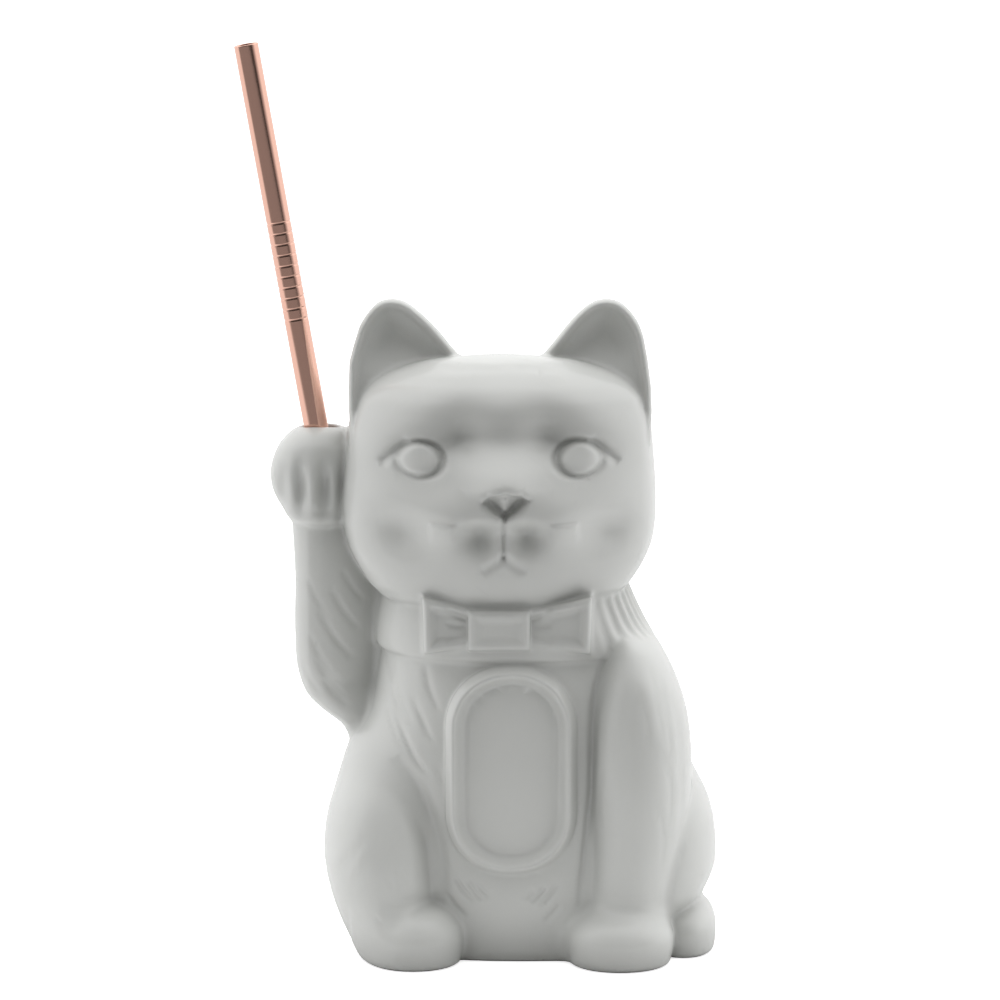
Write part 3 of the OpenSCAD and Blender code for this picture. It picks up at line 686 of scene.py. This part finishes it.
# painted contact shadow: the colour turns near black in the lowest half millimetre above the sole
place = tree.nodes.new("ShaderNodeTexCoord")
level = tree.nodes.new("ShaderNodeSeparateXYZ")
tree.links.new(place.outputs["Object"], level.inputs[0])
painted_contact_shadow = tree.nodes.new("ShaderNodeMapRange")
painted_contact_shadow.inputs["From Min"].default_value = CONTACT_SHADOW_FROM
painted_contact_shadow.inputs["From Max"].default_value = CONTACT_SHADOW_TO
tree.links.new(level.outputs["Z"], painted_contact_shadow.inputs["Value"])
painted_shade_mix = tree.nodes.new("ShaderNodeMix")
painted_shade_mix.data_type = "RGBA"
# near black: the painted contact shadow's colour
painted_shade_mix.inputs["B"].default_value = (0.10, 0.095, 0.085, 1)
tree.links.new(painted_contact_shadow.outputs["Result"], painted_shade_mix.inputs["Factor"])
tree.links.new(painted_shade_tone.outputs["Result"], painted_shade_mix.inputs["A"])
tree.links.new(painted_shade_mix.outputs["Result"], tree.nodes["Principled BSDF"].inputs["Base Color"])
copper = principled("rose_gold", Base_Color=(0.93, 0.56, 0.45, 1), Metallic=1.0, Roughness=0.13)

# ---------------------------------------------------------------- the mug

clay = build_clay()
points, faces, normals = mesh_of(clay)
print("clay mesh", len(points), "points", len(faces), "faces")
mug = make_object("mug", points, faces, normals, [glaze])
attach(mug, "mug")
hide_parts(*[n for n in frame["record"]["behaviour"]["bodies"]["mug"]])

# ---------------------------------------------------------------- the straw

joint = frame["record"]["behaviour"]["joints"][0]
AXIS = Vector(joint["axis"]).normalized()


def straw_object(foot_mm):
    """A tube turned on a lathe, with fine rings round it, standing on its foot along the joint's axis."""
    sides, rings = 96, 10
    r, bore, length = 3.0, 2.5, 220.0
    ring_top, pitch = 44.5, 2.7   # mm below the straw's end, and between rings
    rim = [(bore, 0.15), (bore + 0.12, 0.0), (r - 0.12, 0.0), (r, 0.15), (r, 0.3)]
    wall = []
    for i in range(rings):
        z = length - ring_top - (rings - 1 - i) * pitch
        wall += [(r, z - 0.42), (r, z - 0.32), (r - 0.05, z - 0.2), (r - 0.12, z),
                 (r - 0.05, z + 0.2), (r, z + 0.32), (r, z + 0.42)]
    top = [(r, length - 0.30), (r, length - 0.15), (r - 0.12, length),
           (bore + 0.12, length), (bore, length - 0.15), (bore, length - 0.3), (bore, 0.3)]
    profile = rim + wall + top
    n = len(profile)
    a = np.linspace(0, 2 * math.pi, sides, endpoint=False)
    points = np.array([[p[0] * math.cos(t), p[0] * math.sin(t), p[1]] for p in profile for t in a])
    faces = [(j * sides + i, j * sides + (i + 1) % sides,
              (j + 1) % n * sides + (i + 1) % sides, (j + 1) % n * sides + i)
             for j in range(n) for i in range(sides)]
    obj = make_object("straw_tube", points, faces, None, [copper])
    turn = Vector((0, 0, 1)).rotation_difference(AXIS).to_matrix().to_4x4()
    obj.data.transform(turn)
    obj.data.transform(Matrix.Translation(Vector(np.array(foot_mm) * MM)))
    return obj


pin = [m for m in frame["record"]["mounts"] if m["name"] == "straw_bore"][0]
MOUNT_UP_M = 0.2   # the mount is this far up the straw's axis from its foot
straw = straw_object([(pin["pos_m"][i] - MOUNT_UP_M * AXIS[i]) / MM for i in range(3)])
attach(straw, "straw")
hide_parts("straw")

# ---------------------------------------------------------------- the stage

FLOOR_NEAR, FLOOR_FAR, FLOOR_GLOW = 0.90, 0.26, 0.75
FRONT_TONE, FRONT_EDGE = 0.09, (0.10, 0.62)
MIRROR_TONE, MIRROR_EDGE = 0.04, (0.20, 0.50)
SIDE_LIGHT, TOP_LIGHT, UPPER_FRONT = 0.98, 1.44, 0.15

FLOOR_HALF = 8.0   # metres from the middle of the floor to its edges
IMAGE_PX, FOCAL_PX, SENSOR_MM = 1000, 5239, 36
CAMERA_AT, CAMERA_DOWN = (-0.00546, -1.28735, 0.29115), 8   # metres; degrees below level


def nodes_of(block):
    """Clears a node tree, and gives back a function that adds a node to it with its inputs linked."""
    block.use_nodes = True
    block.node_tree.nodes.clear()
    tree = block.node_tree

    def add(kind, links=(), **values):
        node = tree.nodes.new(kind)
        for key, value in values.items():
            if key in node.inputs:
                node.inputs[key].default_value = value
            else:
                setattr(node, key, value)
        for source, target in links:
            tree.links.new(source, node.inputs[target])
        return node

    return add


floor_mesh = bpy.data.meshes.new("floor")
corners = [(i * FLOOR_HALF, j * FLOOR_HALF, 0) for i, j in ((-1, -1), (1, -1), (1, 1), (-1, 1))]
floor_mesh.from_pydata(corners, [], [(0, 1, 2, 3)])
floor = bpy.data.objects.new("floor", floor_mesh)
bpy.context.scene.collection.objects.link(floor)
# the floor looks white to the camera, and gives the mug only a soft light from below; in that light its
# colour darkens away from the mug towards the camera, painted shade standing in for a dimmer floor in front
floor_paint = bpy.data.materials.new("floor")
add = nodes_of(floor_paint)
path = add("ShaderNodeLightPath")
place = add("ShaderNodeNewGeometry")
depth = add("ShaderNodeSeparateXYZ", [(place.outputs["Position"], 0)])
# painted shade: the floor's colour for the light it throws back is darker farther in front of the mug
near = add("ShaderNodeMapRange", [(depth.outputs["Y"], "Value")], interpolation_type="SMOOTHSTEP")
near.inputs["From Min"].default_value = -0.30
near.inputs["From Max"].default_value = -0.08
near.inputs["To Min"].default_value = FLOOR_FAR
near.inputs["To Max"].default_value = FLOOR_NEAR
matt = add("ShaderNodeBsdfDiffuse", [(near.outputs[0], "Color")])
pale = add("ShaderNodeBsdfDiffuse", Color=(0.9, 0.9, 0.9, 1))
glow = add("ShaderNodeEmission", Color=(1, 1, 1, 1), Strength=FLOOR_GLOW)
lit = add("ShaderNodeAddShader", [(pale.outputs[0], 0), (glow.outputs[0], 1)])
mixed = add("ShaderNodeMixShader", [
    (path.outputs["Is Camera Ray"], 0), (matt.outputs[0], 1), (lit.outputs[0], 2)])
add("ShaderNodeOutputMaterial", [(mixed.outputs[0], "Surface")])
floor_mesh.materials.append(floor_paint)

# a room of white walls, darker on the camera's side
world = bpy.data.worlds.new("studio")
bpy.context.scene.world = world
add = nodes_of(world)
path = add("ShaderNodeLightPath")
coord = add("ShaderNodeTexCoord")
split = add("ShaderNodeSeparateXYZ", [(coord.outputs["Generated"], 0)])
lift = add("ShaderNodeMath", [(split.outputs["Y"], 0)], operation="MULTIPLY_ADD")
lift.inputs[1].default_value = 0.5
lift.inputs[2].default_value = 0.5
high = add("ShaderNodeMath", [(split.outputs["Z"], 0), (lift.outputs[0], 2)], operation="MULTIPLY_ADD")
high.inputs[1].default_value = UPPER_FRONT
across = add("ShaderNodeValToRGB", [(high.outputs[0], "Fac")])
across.color_ramp.interpolation = "EASE"
across.color_ramp.elements[0].position = FRONT_EDGE[0]
across.color_ramp.elements[0].color = (FRONT_TONE, FRONT_TONE, FRONT_TONE * 0.97, 1)
across.color_ramp.elements[1].position = FRONT_EDGE[1]
across.color_ramp.elements[1].color = (1, 1, 1, 1)
mirrored = add("ShaderNodeValToRGB", [(lift.outputs[0], "Fac")])
mirrored.color_ramp.elements[0].position = MIRROR_EDGE[0]
mirrored.color_ramp.elements[0].color = (MIRROR_TONE, MIRROR_TONE, MIRROR_TONE, 1)
mirrored.color_ramp.elements[1].position = MIRROR_EDGE[1]
mirrored.color_ramp.elements[1].color = (1, 1, 1, 1)
wall = add("ShaderNodeMix", data_type="RGBA")
for source, target in ((path.outputs["Is Glossy Ray"], "Factor"), (across.outputs["Color"], "A"),
                       (mirrored.outputs["Color"], "B")):
    world.node_tree.links.new(source, [i for i in wall.inputs if i.name == target and i.enabled][0])
up = add("ShaderNodeMapRange", [(split.outputs["Z"], "Value")])
up.inputs["From Min"].default_value = 0.0
up.inputs["From Max"].default_value = 1.0
up.inputs["To Min"].default_value = SIDE_LIGHT
up.inputs["To Max"].default_value = TOP_LIGHT
tint = [o for o in wall.outputs if o.enabled][0]
room = add("ShaderNodeBackground", [(tint, "Color"), (up.outputs[0], "Strength")])
seen = add("ShaderNodeBackground", Color=(1, 1, 1, 1), Strength=1.0)
mixed = add("ShaderNodeMixShader", [
    (path.outputs["Is Camera Ray"], 0), (room.outputs[0], 1), (seen.outputs[0], 2)])
add("ShaderNodeOutputWorld", [(mixed.outputs[0], "Surface")])

camera_data = bpy.data.cameras.new("camera")
camera_data.sensor_width = SENSOR_MM
camera_data.lens = FOCAL_PX / IMAGE_PX * SENSOR_MM
camera_data.clip_end = 50
camera = bpy.data.objects.new("camera", camera_data)
camera.location = CAMERA_AT
camera.rotation_euler = (math.radians(90 - CAMERA_DOWN), 0, 0)
bpy.context.scene.collection.objects.link(camera)
bpy.context.scene.camera = camera
bpy.context.scene.view_settings.view_transform = "Standard"
